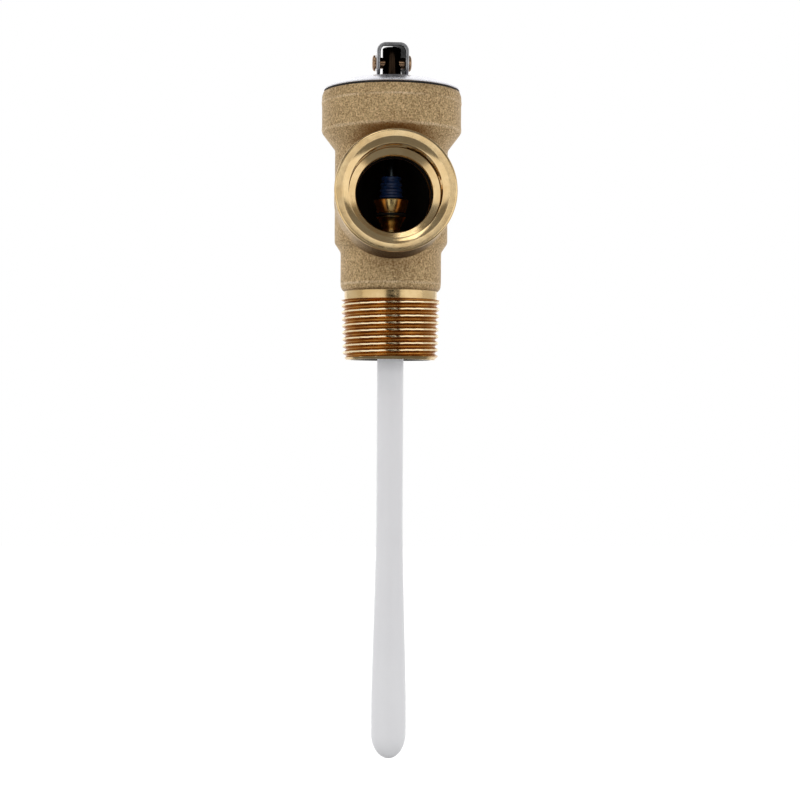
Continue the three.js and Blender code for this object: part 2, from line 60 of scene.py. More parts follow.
# Driving dimensions in millimetres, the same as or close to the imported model's.
THREAD_PITCH = 25.4 / 14
THREAD_DEPTH = 1.0
THREAD_TOP = 16.1
CREST_TURN = 0.52                # where round the pipe a crest starts, in turns
THREAD_END_R = 12.92
INLET_R = 10.5
GROOVE_R = 12.5                  # plain groove above the male thread
NECK_R = 13.6
NECK_BOTTOM = 18.35
BARREL_R = 15.25
CAP_R = 18.8
RIM_TOP = 71.8
CHAMBER_R = 12.4
INLET_FIT_R = 12.2                # bore of the cast skin round the turned inlet
LEDGE_Z = 61.0
BOWL_R = 16.3
OUTLET_Z = 42.8
OUTLET_FACE = 27.0
BOSS_R = 15.5
BOSS_DRAFT = 1.1                 # how much lower the boss's underside is at its root
LAND_R = 15.8
HOLE_R = 9.9
PIVOT_Z = 80.1
PIVOT_BORE_R = 1.65
LEVER_HALF = 4.3                 # half the lever's width
LEVER_SHEET = 0.85
LEVER_SLOPE = math.radians(10.9)
LEVER_FRONT_Y = -7.4
LEVER_FRONT_Z = 84.4
LEVER_LENGTH = 40.35
PROBE_TIP_R = 4.7
PROBE_THIN_R = 3.55
PROBE_TIP = -107.5
PROBE_ROUND_START = -100.7

AMBIENT = 0.20                   # brightness of the studio's walls
LIGHT_DISTANCE = 0.75            # metres from the valve to its upright softboxes


# ---------------------------------------------------------------- meshes

def mesh_object(name, vertices, faces, sharp=32):
    """A mesh from vertices in millimetres, with faces turned outwards and crisp edges past an angle."""
    mesh = bpy.data.meshes.new(name)
    mesh.from_pydata([tuple(c * MM for c in v) for v in vertices], [], faces)
    shell = bmesh.new()
    shell.from_mesh(mesh)
    bmesh.ops.recalc_face_normals(shell, faces=shell.faces)
    shell.to_mesh(mesh)
    shell.free()
    piece = bpy.data.objects.new(name, mesh)
    bpy.context.scene.collection.objects.link(piece)
    shade(piece, sharp)
    return piece


def shade(piece, sharp=32):
    piece.data.shade_smooth()
    piece.data.set_sharp_from_angle(angle=math.radians(sharp))


def rounded(outline, steps=4):
    """An outline of (radius, height) or (radius, height, fillet), with each fillet as an arc."""
    points = []
    closed = outline[0][:2] == outline[-1][:2]
    corners = outline[:-1] if closed else outline
    count = len(corners)
    for index, corner in enumerate(corners):
        here = Vector(corner[:2])
        fillet = corner[2] if len(corner) > 2 else 0
        ends = index in (0, count - 1) and not closed
        if not fillet or ends:
            points.append(tuple(here))
            continue
        before = Vector(corners[index - 1][:2]) - here
        after = Vector(corners[(index + 1) % count][:2]) - here
        reach = min(fillet, 0.49 * before.length, 0.49 * after.length)
        start, end = here + before.normalized() * reach, here + after.normalized() * reach
        for step in range(steps + 1):
            t = step / steps
            points.append(tuple(start * (1 - t) ** 2 + here * 2 * t * (1 - t) + end * t ** 2))
    return points + points[:1] if closed else points


def upright(x, y, height):
    return (x, y, height)


def out_of_boss(x, y, height):
    """Turned about the outlet's axis: height is then the distance from the valve's axis."""
    return (x, -height, OUTLET_Z + y)


def drafted_boss(x, y, height):
    """As out_of_boss, with the underside dropping towards the barrel as a casting's draft leaves it."""
    draft = BOSS_DRAFT * min(max((26 - height) / 15, 0), 1)
    return (x, -height, OUTLET_Z + y * (1 + draft / BOSS_R if y < 0 else 1))


def along_x(x, y, height):
    return (height, x, PIVOT_Z + y)


def turned(name, outline, facets=SMALL, place=upright, relief=None, sharp=32):
    """A turned piece. relief(radius, height, angle) may give each point another radius."""
    closed = outline[0] == outline[-1]
    rows = outline[:-1] if closed else outline
    vertices, rings = [], []
    for radius, height in rows:
        if radius < 1e-6:
            rings.append([len(vertices)] * facets)
            vertices.append(place(0, 0, height))
            continue
        rings.append(range(len(vertices), len(vertices) + facets))
        for index in range(facets):
            angle = 2 * math.pi * index / facets
            r = relief(radius, height, angle) if relief else radius
            vertices.append(place(r * math.cos(angle), r * math.sin(angle), height))
    faces = []
    pairs = list(zip(rings, rings[1:])) + ([(rings[-1], rings[0])] if closed else [])
    for low, high in pairs:
        for index in range(facets):
            after = (index + 1) % facets
            corners = (low[index], low[after], high[after], high[index])
            faces.append(tuple(dict.fromkeys(corners)))
    return mesh_object(name, vertices, [f for f in faces if len(f) > 2], sharp)


def evaluated(piece):
    """Applies a piece's modifiers to its mesh."""
    graph = bpy.context.evaluated_depsgraph_get()
    mesh = bpy.data.meshes.new_from_object(piece.evaluated_get(graph))
    piece.modifiers.clear()
    piece.data = mesh


def combine(piece, other, operation):
    """Joins, cuts or intersects a piece with another one, which is used up."""
    modifier = piece.modifiers.new("combine", "BOOLEAN")
    modifier.operation = operation
    modifier.solver = "MANIFOLD"
    modifier.object = other
    evaluated(piece)
    bpy.data.objects.remove(other)


def melted(piece, voxel, smoothing):
    """Remeshes a piece and smooths it, so that its edges and joints round off as on a casting."""
    remesh = piece.modifiers.new("remesh", "REMESH")
    remesh.mode = "VOXEL"
    remesh.voxel_size = voxel * MM
    smooth = piece.modifiers.new("smooth", "SMOOTH")
    smooth.factor = 0.5
    smooth.iterations = smoothing
    evaluated(piece)


def slab(name, outline, thickness, place):
    """A flat outline of (u, v), given a thickness about its middle; place puts (u, v, w) in space."""
    count = len(outline)
    vertices = [place(u, v, w) for w in (-thickness / 2, thickness / 2) for u, v in outline]
    faces = [tuple(range(count)), tuple(range(2 * count - 1, count - 1, -1))]
    for index in range(count):
        after = (index + 1) % count
        faces.append((index, after, count + after, count + index))
    return mesh_object(name, vertices, faces)


def wound_wire(name, turns, bottom, top, radius_at, wire_r, flat_ends=0.75, sides=20, per_turn=64):
    """A coil spring with ground ends: its end turns lie flat, and the pitch is between them."""
    steps = int(turns * per_turn)
    vertices, faces = [], []
    flat = flat_ends / turns
    for step in range(steps + 1):
        t = step / steps
        rise = min(max((t - flat) / (1 - 2 * flat), 0), 1)
        rise = rise * rise * (3 - 2 * rise) * 0.35 + rise * 0.65
        angle = 2 * math.pi * turns * t
        outward = Vector((math.cos(angle), math.sin(angle), 0))
        middle = outward * radius_at(t) + Vector((0, 0, bottom + (top - bottom) * rise))
        for side in range(sides):
            turn = 2 * math.pi * side / sides
            lift = Vector((0, 0, wire_r * math.sin(turn)))
            vertices.append(middle + outward * (wire_r * math.cos(turn)) + lift)
    for step in range(steps):
        for side in range(sides):
            after = (side + 1) % sides
            a, b = step * sides, (step + 1) * sides
            faces.append((a + side, a + after, b + after, b + side))
    faces += [tuple(range(sides)), tuple(range((steps + 1) * sides - 1, steps * sides - 1, -1))]
    return mesh_object(name, vertices, faces)


# ---------------------------------------------------------------- materials

class Look:
    """A node material under construction; each method adds one node and returns its output."""

    def __init__(self, name):
        self.material = bpy.data.materials.new(name)
        self.material.use_nodes = True
        self.tree = self.material.node_tree
        self.shader = self.tree.nodes["Principled BSDF"]
        self.place = self.node("ShaderNodeTexCoord").outputs["Object"]

    def node(self, kind, inputs=None, **settings):
        made = self.tree.nodes.new(kind)
        for key, value in settings.items():
            setattr(made, key, value)
        for key, value in (inputs or {}).items():
            self.feed(made.inputs[key], value)
        return made

    def feed(self, socket, value):
        if isinstance(value, bpy.types.NodeSocket):
            self.tree.links.new(value, socket)
        else:
            socket.default_value = value

    def noise(self, size_mm, detail=4, roughness=0.55, vector=None):
        inputs = {"Vector": vector or self.place, "Scale": 1 / (size_mm * MM), "Detail": detail,
                  "Roughness": roughness}
        return self.node("ShaderNodeTexNoise", inputs).outputs["Fac"]

    def cells(self, size_mm):
        inputs = {"Vector": self.place, "Scale": 1 / (size_mm * MM)}
        return self.node("ShaderNodeTexVoronoi", inputs).outputs["Distance"]

    def spread(self, value, low, high, to_low=0.0, to_high=1.0):
        inputs = {"Value": value, "From Min": low, "From Max": high, "To Min": to_low, "To Max": to_high}
        return self.node("ShaderNodeMapRange", inputs).outputs["Result"]

    def sum(self, first, second, operation="ADD"):
        return self.node("ShaderNodeMath", {0: first, 1: second}, operation=operation).outputs[0]

    def blend(self, amount, first, second):
        """Mixes two colours, each an output or three numbers; the Mix node's colour sockets are 6 and 7."""
        mix = self.node("ShaderNodeMix", data_type="RGBA")
        self.feed(mix.inputs["Factor"], amount)
        for socket, colour in ((6, first), (7, second)):
            plain = not isinstance(colour, bpy.types.NodeSocket)
            self.feed(mix.inputs[socket], (*colour, 1) if plain else colour)
        return mix.outputs[2]

    def turning(self, axis, centre_z, size_mm):
        """Noise that is the same all the way round an axis, as a lathe tool leaves it."""
        part = self.node("ShaderNodeSeparateXYZ", {"Vector": self.place}).outputs
        lift = self.sum(part["Z"], centre_z * MM, "SUBTRACT") if axis == "Y" else part["Y"]
        square = self.sum(self.sum(part["X"], part["X"], "MULTIPLY"), self.sum(lift, lift, "MULTIPLY"))
        radius = self.sum(square, 0.5, "POWER")
        line = self.node("ShaderNodeCombineXYZ", {"X": radius, "Y": part[axis]}).outputs["Vector"]
        return self.noise(size_mm, 3, 0.6, line)

    def bump(self, height, depth_mm):
        inputs = {"Height": height, "Distance": depth_mm * MM, "Strength": 1.0}
        return self.node("ShaderNodeBump", inputs).outputs["Normal"]

    def part_of(self, vector, axis):
        return self.node("ShaderNodeSeparateXYZ", {"Vector": vector}).outputs[axis]

    def finish(self, **inputs):
        for key, value in inputs.items():
            self.feed(self.shader.inputs[key.replace("_", " ")], value)
        return self.material


def painted_edge_highlights(look, colour, grain, broad):
    """Painted highlights: lighter brass along lines on the body's edges, in broken rings round its axis."""
    level = look.part_of(look.place, "Z")
    for line, width in ((69.0, 0.45), (61.4, 0.6), (20.3, 0.5)):
        off_line = look.sum(look.sum(level, line * MM, "SUBTRACT"), 0.0, "ABSOLUTE")
        near = look.spread(off_line, 0.0, width * MM, 0.85, 0.0)
        edge_light = look.sum(near, look.spread(broad, 0.3, 0.6), "MULTIPLY")
        edge_light = look.sum(edge_light, look.spread(grain, 0.35, 0.6, 0.2, 0.8), "MULTIPLY")
        colour = look.blend(edge_light, colour, (1.0, 0.82, 0.58))
    return colour


def painted_corner_shade(look, colour):
    """Painted shade: browner brass in corners and nearly black on the undersides, where shade falls."""
    open_share = look.node("ShaderNodeAmbientOcclusion", {"Distance": 11 * MM}, samples=8).outputs["AO"]
    colour = look.blend(look.spread(open_share, 0.46, 0.80, 0.88, 0.0), colour, (0.22, 0.085, 0.006))
    facing_up = look.part_of(look.node("ShaderNodeNewGeometry").outputs["Normal"], "Z")
    return look.blend(look.spread(facing_up, -0.97, -0.66, 0.92, 0.0), colour, (0.05, 0.018, 0.003))


def cast_brass():
    look = Look("cast_brass")
    grain = look.noise(0.46, 3, 0.7)
    fine = look.noise(0.24, 2, 0.6)
    pits = look.cells(0.9)
    broad = look.noise(7.0, 3)
    warm = look.blend(look.spread(broad, 0.35, 0.65), (0.53, 0.345, 0.15), (0.65, 0.445, 0.205))
    sand = look.blend(look.spread(grain, 0.36, 0.64), (0.19, 0.10, 0.038), (0.98, 0.74, 0.42))
    colour = look.blend(look.spread(fine, 0.3, 0.7, 0.45, 0.85), warm, sand)
    # painted highlights along the edges, then painted shade in the corners and on the undersides
    colour = painted_corner_shade(look, painted_edge_highlights(look, colour, grain, broad))
    height = look.sum(look.spread(grain, 0.3, 0.7), look.spread(pits, 0.0, 0.5, 0.0, 0.6))
    height = look.sum(height, look.sum(fine, 0.8, "MULTIPLY"))
    return look.finish(Base_Color=colour, Metallic=0.80, Roughness=look.spread(grain, 0.3, 0.7, 0.60, 0.42),
                       Normal=look.bump(height, 0.10))


def turned_brass(name, base, deep, rough, mark_depth=0.003, uneven=1.0, axis="Z", centre_z=0.0):
    """Brass off the lathe, with tool marks round an axis; uneven scales how far the gloss varies."""
    look = Look(name)
    marks = look.turning(axis, centre_z, 0.35)
    broad = look.noise(5.0, 3)
    spots = look.noise(1.3, 3)
    colour = look.blend(look.spread(broad, 0.35, 0.7), base, deep)
    colour = look.blend(look.spread(spots, 0.62, 0.80, 0.0, 0.25), colour, (0.36, 0.22, 0.11))
    colour = look.blend(look.spread(marks, 0.3, 0.7, 0.0, 0.22), colour, deep)
    tangent = look.node("ShaderNodeTangent", direction_type="RADIAL", axis=axis).outputs["Tangent"]
    roughness = look.sum(look.spread(marks, 0.3, 0.7, rough - 0.04 * uneven, rough + 0.05 * uneven),
                         look.spread(spots, 0.4, 0.7, 0.0, 0.06 * uneven))
    return look.finish(Base_Color=colour, Metallic=1.0, Roughness=roughness, Anisotropic=0.4, Tangent=tangent,
                       Normal=look.bump(marks, mark_depth))


def plain_metal(name, base, rough, dark=None):
    look = Look(name)
    grain = look.noise(0.5, 4)
    broad = look.noise(3.0, 2)
    dark = dark or tuple(c * 0.72 for c in base)
    colour = look.blend(look.spread(broad, 0.35, 0.7), base, dark)
    uneven_rough = look.spread(grain, 0.3, 0.7, rough - 0.06, rough + 0.08)
    return look.finish(Base_Color=colour, Metallic=1.0, Roughness=uneven_rough, Normal=look.bump(grain, 0.01))


def lever_plating():
    look = Look("lever_plating")
    grain = look.noise(0.35, 4)
    scuffs = look.noise(2.2, 5, 0.7)
    colour = look.blend(look.spread(scuffs, 0.45, 0.72), (0.66, 0.66, 0.68), (0.36, 0.35, 0.36))
    rough = look.sum(look.spread(grain, 0.3, 0.7, 0.12, 0.26), look.spread(scuffs, 0.5, 0.75, 0.0, 0.2))
    return look.finish(Base_Color=colour, Metallic=1.0, Roughness=rough, Normal=look.bump(grain, 0.012))


def cover_plating():
    look = Look("cover_plating")
    speck = look.cells(0.9)
    grain = look.noise(0.5, 4)
    broad = look.noise(4.0, 4)
    colour = look.blend(look.spread(broad, 0.4, 0.7), (0.95, 0.95, 0.99), (0.86, 0.85, 0.93))
    mark = look.sum(look.spread(speck, 0.0, 0.16, 1.0, 0.0), look.spread(broad, 0.5, 0.62), "MULTIPLY")
    colour = look.blend(look.sum(mark, 0.7, "MULTIPLY"), colour, (0.16, 0.15, 0.16))
    return look.finish(Base_Color=colour, Metallic=0.85, Roughness=look.spread(grain, 0.3, 0.7, 0.22, 0.36),
                       Normal=look.bump(grain, 0.008))


def chamber_painted_shade():
    # Painted shade: a near-black matt surface standing for the shadow inside the chamber and bores.
    look = Look("chamber_painted_shade")
    grain = look.noise(0.4, 4)
    colour = look.blend(look.spread(grain, 0.3, 0.7), (0.010, 0.009, 0.008), (0.022, 0.018, 0.014))
    return look.finish(Base_Color=colour, Metallic=0.0, Roughness=look.spread(grain, 0.3, 0.7, 0.62, 0.8),
                       Normal=look.bump(grain, 0.03), Specular_IOR_Level=0.12)


def probe_plastic():
    look = Look("probe_plastic")
    cloud = look.noise(9.0, 4)
    grain = look.noise(0.5, 3)
    flaws = look.noise(1.6, 5, 0.7)
    colour = look.blend(look.spread(cloud, 0.35, 0.7), (0.96, 0.96, 0.985), (0.91, 0.91, 0.94))
    colour = look.blend(look.spread(flaws, 0.68, 0.8, 0.0, 0.2), colour, (0.74, 0.74, 0.78))
    height = look.sum(grain, look.sum(cloud, 2.0, "MULTIPLY"))
    # The emission is a painted glow, standing for light that passes through the plastic from behind.
    return look.finish(Base_Color=colour, Roughness=look.spread(grain, 0.3, 0.7, 0.36, 0.5),
                       Normal=look.bump(height, 0.03),
                       Subsurface_Weight=0.25, Subsurface_Radius=(0.004, 0.004, 0.004), Subsurface_Scale=1.0,
                       Emission_Color=(0.96, 0.97, 1, 1), Emission_Strength=0.11)


def soft_look(name, base, dark, rough, specular=0.4):
    look = Look(name)
    grain = look.noise(0.35, 4)
    broad = look.noise(2.5, 3)
    colour = look.blend(look.spread(broad, 0.35, 0.7), base, dark)
    return look.finish(Base_Color=colour, Roughness=look.spread(grain, 0.3, 0.7, rough - 0.08, rough + 0.08),
                       Normal=look.bump(grain, 0.015), Specular_IOR_Level=specular)


CAST = cast_brass()
MACHINED = turned_brass("machined_brass", (0.80, 0.58, 0.29), (0.60, 0.38, 0.16), 0.2)
# The thread's valleys get brass darkened as painted shade, and its crests get brass lightened as a painted
# highlight.
VALLEY_SHADE_BRASS = turned_brass("thread_valley_painted_shade", (0.56, 0.29, 0.070), (0.36, 0.155, 0.033), 0.24)
CREST_HIGHLIGHT_BRASS = turned_brass("thread_crest_painted_highlight", (1.0, 0.87, 0.60), (0.92, 0.70, 0.40), 0.12, 0.0006, 0.4)
GROOVE_BRASS = turned_brass("groove_brass", (0.74, 0.55, 0.29), (0.56, 0.38, 0.17), 0.18, 0.0002, 0.15)
OUTLET_BRASS = turned_brass("outlet_brass", (0.84, 0.63, 0.345), (0.70, 0.48, 0.225), 0.16,
                            axis="Y", centre_z=OUTLET_Z)
STEM_BRASS = turned_brass("stem_brass", (0.90, 0.68, 0.30), (0.70, 0.42, 0.15), 0.18)
CHAMBER_BRASS = turned_brass("chamber_brass", (0.80, 0.42, 0.16), (0.55, 0.26, 0.09), 0.3)
CHAMBER_SHADE = chamber_painted_shade()
STEEL = plain_metal("ground_steel", (0.62, 0.63, 0.65), 0.24)
SPRING = plain_metal("spring_wire", (0.30, 0.31, 0.33), 0.32)
COPPER = plain_metal("drawn_copper", (0.78, 0.40, 0.22), 0.28)
# Painted shade: near-black metal for the upper stem inside the chamber.
STEM_SHADE_STEEL = plain_metal("stem_painted_shade", (0.06, 0.075, 0.08), 0.16, (0.03, 0.035, 0.04))
# Painted shade: near-black metal for the lifting spindle, which sits in shade.
SPINDLE_SHADE = plain_metal("dark_bronze", (0.028, 0.017, 0.010), 0.2, (0.008, 0.006, 0.005))
PIN_BRASS = plain_metal("pin_brass", (0.42, 0.27, 0.16), 0.2, (0.20, 0.11, 0.06))
# Painted shade: near black for the inside of the lever's channel.
LEVER_SHADE = soft_look("lever_painted_shade", (0.026, 0.025, 0.026), (0.012, 0.012, 0.012), 0.7, 0.1)
LEVER_EDGE = plain_metal("lever_edge", (0.46, 0.46, 0.47), 0.34, (0.22, 0.22, 0.225))
LEVER = lever_plating()
COVER = cover_plating()
PLASTIC = probe_plastic()
RUBBER = soft_look("black_rubber", (0.018, 0.018, 0.018), (0.030, 0.029, 0.028), 0.6, 0.25)
BUSH = soft_look("bush_plastic", (0.016, 0.016, 0.018), (0.026, 0.026, 0.028), 0.5, 0.3)
BLUE = soft_look("blue_silicone", (0.022, 0.075, 0.24), (0.010, 0.035, 0.14), 0.34, 0.6)
WAX = soft_look("pale_wax", (0.78, 0.68, 0.48), (0.68, 0.58, 0.40), 0.45)


# ---------------------------------------------------------------- joining to the frame

def settle(piece, node, material, across=None):
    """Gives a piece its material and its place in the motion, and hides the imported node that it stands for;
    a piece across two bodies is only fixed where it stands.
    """
    piece.data.materials.clear()
    piece.data.materials.append(material)
    if across:
        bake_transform(piece)
    else:
        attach(piece, BODY_OF[node])
    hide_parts(node)


def add_looks(piece, *materials):
    """More materials for a piece, after its first one; faces pick them by index 1, 2, 3."""
    for material in materials:
        piece.data.materials.append(material)


# ---------------------------------------------------------------- body

def thread_wave(height, angle):
    """Depth share of a thread at a height and angle: flat narrow crests, rounded valleys."""
    phase = (height / THREAD_PITCH - angle / (2 * math.pi) - CREST_TURN) % 1.0
    rise = 1 - abs(2 * phase - 1)
    return min(max((rise - 0.22) / 0.66, 0), 1) ** 0.85


def casting():
    """The cast body: barrel, neck, cap and boss melted into one skin, then bored and faced."""
    skin = turned("body_casting", rounded([
        (0, 17.4), (12.2, 17.4), (12.3, 18.1), (13.3, 18.9, 0.3), (NECK_R, 20.0, 0.5),
        (NECK_R, 29.0), (BARREL_R, 31.4),
        (BARREL_R, 56.5), (CAP_R - 0.25, 60.8), (CAP_R + 0.15, 61.6), (CAP_R, 62.5), (CAP_R, 68.5),
        (CAP_R + 0.2, 69.0), (CAP_R + 0.05, 69.5), (CAP_R + 0.05, 70.9), (CAP_R - 0.35, 71.8),
        (CAP_R - 0.5, 75), (0, 75),
    ]), FINE)
    boss_outline = [(0, 2), (BOSS_R, 2), (BOSS_R, 11), (BOSS_R, 26), (BOSS_R, 30), (0, 30)]
    combine(skin, turned("boss_blank", boss_outline, FINE, drafted_boss), "UNION")
    melted(skin, 0.3, 9)
    roughen(skin)
    for trim in body_trims():
        combine(skin, trim, "DIFFERENCE")
    shade(skin, 38)
    paint_casting(skin)


def body_trims():
    """What is machined off the cast skin: rim, outlet face, neck's end, and the two bores."""
    far = 60
    face = OUTLET_FACE - 1.7
    rim = [(0, RIM_TOP), (far, RIM_TOP), (far, far + 40), (0, far + 40)]
    front = [(0, face), (far, face), (far, far), (0, far)]
    neck = [(0, 0), (far, 0), (far, NECK_BOTTOM), (0, NECK_BOTTOM)]
    boss = [(0, 0), (HOLE_R, 0), (HOLE_R, 13.0), (14.05, 13.0), (14.05, 40), (0, 40)]
    main = [
        (0, 15), (INLET_FIT_R, 15), (INLET_FIT_R, 30.5), (CHAMBER_R, 31), (CHAMBER_R, LEDGE_Z),
        (BOWL_R, LEDGE_Z), (BOWL_R, RIM_TOP - 0.5), (BOWL_R + 0.5, RIM_TOP), (BOWL_R + 0.5, 100), (0, 100),
    ]
    return [
        turned("rim_trim", rim, 64),
        turned("front_trim", front, 64, out_of_boss),
        turned("neck_trim", neck, 128),
        turned("boss_bore", boss, FINE, out_of_boss),
        turned("main_bore", main, FINE),
    ]


def roughen(skin):
    """Slight unevenness of a sand casting, only ever inwards."""
    mesh = skin.data
    count = len(mesh.vertices)
    points, normals = np.empty(count * 3), np.empty(count * 3)
    mesh.vertices.foreach_get("co", points)
    mesh.vertices.foreach_get("normal", normals)
    points, normals = points.reshape(-1, 3), normals.reshape(-1, 3)
    depths = np.empty(count)
    for index, where in enumerate(points / MM):
        place = Vector(where)
        broad = 0.5 + 0.5 * noise.noise(place * 0.22)
        depths[index] = broad + 0.35 * (0.5 + 0.5 * noise.noise(place * 0.9))
    points -= normals * (depths * 0.055 * MM)[:, None]
    mesh.vertices.foreach_set("co", points.ravel())
    mesh.update()


def paint_casting(skin):
    """Cast skin outside, machined metal in the bowl and on the rim, and painted shade, near black, at the
    back of the chamber.
    """
    settle(skin, "valve_body", CAST)
    add_looks(skin, MACHINED, CHAMBER_SHADE, CHAMBER_BRASS)
    machined, in_shade, bare = 1, 2, 3
    for face in skin.data.polygons:
        x, y, z = (c / MM for c in face.center)
        from_axis = math.hypot(x, y)
        from_outlet = math.hypot(x, z - OUTLET_Z)
        if z > LEDGE_Z - 0.01 and from_axis < BOWL_R + 0.6 or z > RIM_TOP - 0.01:
            face.material_index = machined
        elif y < -6 and from_outlet < HOLE_R + 0.05:
            face.material_index = bare
        # painted shade, near black, on the chamber's back wall; bare brass on its sides
        elif from_axis < CHAMBER_R + 0.02:
            face.material_index = in_shade if y > 2 and abs(x) < 11 else bare


def inlet_thread():
    """The male taper thread with the groove above it, and the bored inlet inside."""
    rows = 26
    count = int(THREAD_TOP * rows / THREAD_PITCH)
    outside = [(THREAD_END_R, i * THREAD_PITCH / rows) for i in range(1, count + 1)]
    outline = [(INLET_R + 0.35, 0.0), (12.05, 0.0)] + outside
    outline += rounded([
        (12.4, THREAD_TOP + 0.1), (GROOVE_R, 16.8, 0.3), (GROOVE_R, 18.2, 0.3), (12.75, 18.8),
        (12.35, 19.2), (12.35, 29.5), (11.9, 29.5), (INLET_R, 26.0), (7.2, 26.0), (7.2, 20.0), (9.6, 20.0),
        (9.6, 15.3), (INLET_R, 15.3), (INLET_R, 11.6), (INLET_R + 0.6, 11.6), (INLET_R + 0.6, 10.4),
        (INLET_R, 10.4), (INLET_R, 0.35), (INLET_R + 0.35, 0.0),
    ])

    def cut_thread(radius, height, angle):
        if radius != THREAD_END_R:
            return radius
        crest = THREAD_END_R + height / 32
        chamfer = max(0.0, 0.95 - 0.85 * height)
        fade = min(1.0, max(0.0, (THREAD_TOP - height) / 0.4))
        depth = THREAD_DEPTH * thread_wave(height, angle) * (0.25 + 0.75 * fade)
        return min(crest - depth, crest - chamfer)

    piece = turned("inlet_thread", outline, 288, upright, cut_thread, 50)
    settle(piece, "valve_body", VALLEY_SHADE_BRASS)
    add_looks(piece, CHAMBER_SHADE, CREST_HIGHLIGHT_BRASS, GROOVE_BRASS)
    in_shade, on_crest, in_groove = 1, 2, 3
    for face in piece.data.polygons:
        x, y, z = (c / MM for c in face.center)
        from_axis = math.hypot(x, y)
        crest = THREAD_END_R + z / 32
        # painted shade, near black, inside the bored inlet
        if from_axis < INLET_R + 0.7 and z > 0.05:
            face.material_index = in_shade
        elif z > THREAD_TOP + 0.05 or z < 0.8:
            face.material_index = in_groove
        # crests get the painted highlight brass; flanks and valleys keep the painted shade brass
        elif from_axis > crest - 0.12:
            face.material_index = on_crest


def outlet_ring():
    """The machined mouth of the outlet: land, face, chamfer, inside thread, cone and passage."""
    major, minor = 13.1, 12.1
    rows = 11
    first, last = OUTLET_FACE - 1.35, 20.0
    count = int((first - last) * rows / THREAD_PITCH)
    threads = [(major, first - i * THREAD_PITCH / rows) for i in range(count + 1)]
    outline = rounded([
        (HOLE_R, 11.5), (14.1, 13.0), (14.1, 25.2), (15.6, 25.3), (LAND_R, 25.6, 0.2),
        (LAND_R, 26.6, 0.25), (LAND_R - 0.45, OUTLET_FACE, 0.2), (13.7, OUTLET_FACE, 0.1),
        (12.35, OUTLET_FACE - 1.3),
    ]) + threads + rounded([
        (minor, 19.7), (minor - 0.1, 19.0, 0.15), (HOLE_R + 0.3, 17.95, 0.05), (HOLE_R, 17.6),
        (HOLE_R, 11.5),
    ])

    def cut_thread(radius, height, angle):
        if radius != major:
            return radius
        depth = 1 - thread_wave(height, -angle)
        run_in = min(1.0, max(0.0, (first - height) / 1.5))
        return minor + (major - minor) * depth * 0.8 * run_in

    piece = turned("outlet_ring", outline, 288, out_of_boss, cut_thread, 40)
    settle(piece, "valve_body", OUTLET_BRASS)
    add_looks(piece, CHAMBER_SHADE)
    for face in piece.data.polygons:
        # painted shade, near black, on the passage's wall behind the cone
        if face.center.y > -17.7 * MM:
            face.material_index = 1


# ---------------------------------------------------------------- seat and closing parts

def seat_and_disc():
    settle(turned("seat_insert_fine", rounded([
        (5.0, 20.3, 0.3), (6.9, 20.3), (6.9, 26.3), (9.5, 26.3), (9.5, 27.6, 0.3), (6.9, 27.6, 0.3),
        (6.9, 29.6, 0.3), (6.2, 30.6, 0.15), (5.0, 30.6, 0.15), (5.0, 20.3),
    ]), SMALL), "seat_insert", STEEL)
    settle(turned("disc_screw_fine", rounded([
        (0, 28.9), (1.0, 28.9), (1.0, 28.3), (2.8, 28.3, 0.4), (2.8, 30.6), (1.2, 30.6),
        (1.2, 36.2, 0.2), (0, 36.2),
    ]), 64), "disc_screw", MACHINED)
    settle(turned("seal_disc_fine", rounded([
        (1.5, 30.9), (6.9, 30.9, 0.25), (6.9, 32.1, 0.25), (1.5, 32.1), (1.5, 30.9),
    ]), SMALL), "seal_disc", RUBBER)
    settle(turned("disc_holder_fine", rounded([
        (1.5, 32.4), (7.1, 32.4), (7.1, 31.4), (7.7, 31.4, 0.1), (7.7, 33.4, 0.4), (7.2, 33.9, 0.3),
        (1.5, 33.9), (1.5, 32.4),
    ]), SMALL), "disc_holder", MACHINED)


def stem():
    """The stem with its two collars in brass; above them it is near-black steel, as painted shade."""
    rod = turned("valve_stem_fine", rounded([
        (1.5, 34.2), (2.45, 34.2), (2.5, 35.2, 0.4), (4.2, 38.5, 0.12), (4.0, 38.6), (3.0, 38.6),
        (3.0, 39.6), (4.0, 39.6), (4.05, 39.7, 0.12), (4.85, 43.0, 0.12), (4.6, 43.2), (1.9, 43.2),
        (1.9, 57.8), (1.5, 57.8), (1.5, 58.8), (1.9, 58.8), (1.9, 61.9), (1.3, 62.2), (1.3, 67.35),
        (0.55, 67.35), (0.55, 68.65), (1.3, 68.65), (1.3, 70.0, 0.2), (0, 70.0), (0, 36.5),
        (1.5, 36.5), (1.5, 34.2),
    ]), SMALL)
    settle(rod, "valve_stem", STEM_BRASS)
    add_looks(rod, STEM_SHADE_STEEL)
    # above the collars the stem is near-black: painted shade
    for face in rod.data.polygons:
        if face.center.z > 43.15 * MM:
            face.material_index = 1
    settle(seal_ring(), "stem_seal_ring", RUBBER)
    settle(sleeve(), "stem_sleeve", BLUE)


def seal_ring():
    middle_r, middle_z, cord_r = 3.75, 39.1, 0.35
    turns = np.linspace(-math.pi, math.pi, 17)
    outline = [(middle_r + cord_r * math.cos(a), middle_z + cord_r * math.sin(a)) for a in turns]
    return turned("stem_seal_ring_fine", outline[:-1] + outline[:1], 64)


